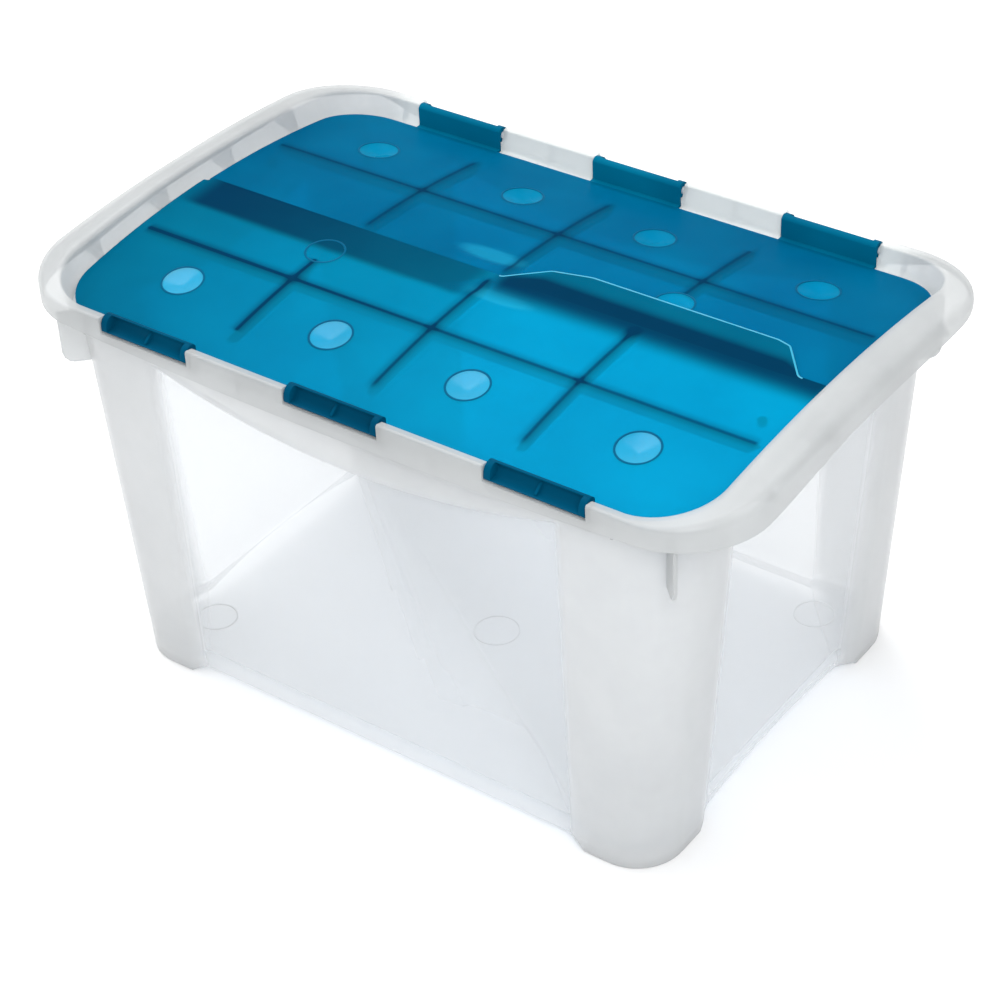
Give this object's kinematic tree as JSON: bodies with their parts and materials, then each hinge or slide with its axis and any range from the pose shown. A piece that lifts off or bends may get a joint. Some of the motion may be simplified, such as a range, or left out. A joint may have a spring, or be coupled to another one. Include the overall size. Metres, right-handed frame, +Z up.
{
  "type": "hinged-lid storage box",
  "caption": "Tall translucent storage crate with a wide arched rim, corner posts and an attached split lid whose overlapping leaves swing out on side hinges.",
  "frame": {"origin": "centre of the footprint, on the ground plane the feet stand on", "axes": "+X along the long side of the box, +Y across it towards the rear leaf's hinge, +Z up; the front leaf hinges on the -Y side"},
  "size_m": [0.6, 0.38, 0.338],
  "materials": {
    "tub_panel_plastic": "clear to lightly frosted moulded plastic",
    "tub_frame_plastic": "frosted translucent moulded plastic",
    "lid_plastic": "satin translucent blue plastic",
    "hinge_plastic": "satin blue plastic, darker where it is doubled"
  },
  "bodies": {
    "tub": {"floor_plate": "tub_panel_plastic", "wall_front": "tub_panel_plastic", "wall_rear": "tub_panel_plastic", "wall_left": "tub_panel_plastic", "wall_right": "tub_panel_plastic", "post_front_left": "tub_frame_plastic", "post_front_right": "tub_frame_plastic", "post_rear_left": "tub_frame_plastic", "post_rear_right": "tub_frame_plastic", "rim_front": "tub_frame_plastic", "rim_rear": "tub_frame_plastic", "rim_left": "tub_frame_plastic", "rim_right": "tub_frame_plastic", "corner_fins": "tub_frame_plastic", "hinge_pins_front": "tub_frame_plastic", "hinge_pins_rear": "tub_frame_plastic"},
    "leaf_front": {"front_leaf_panel": "lid_plastic", "front_leaf_ribs": "lid_plastic", "front_knuckle_left": "hinge_plastic", "front_knuckle_mid": "hinge_plastic", "front_knuckle_right": "hinge_plastic"},
    "leaf_rear": {"rear_leaf_panel": "lid_plastic", "rear_leaf_ribs": "lid_plastic", "rear_knuckle_left": "hinge_plastic", "rear_knuckle_mid": "hinge_plastic", "rear_knuckle_right": "hinge_plastic"}
  },
  "joints": [
    {"name": "front_leaf_hinge", "type": "hinge", "parent": "tub", "child": "leaf_front", "pos_m": [0, -0.183, 0.315], "axis": [1, 0, 0], "range_deg": [0, 250]},
    {"name": "rear_leaf_hinge", "type": "hinge", "parent": "tub", "child": "leaf_rear", "pos_m": [0, 0.183, 0.315], "axis": [-1, 0, 0], "range_deg": [0, 163]}
  ],
  "couplings": [
    {"joint": "rear_leaf_hinge", "follows": "front_leaf_hinge", "ratio": 0.65}
  ]
}
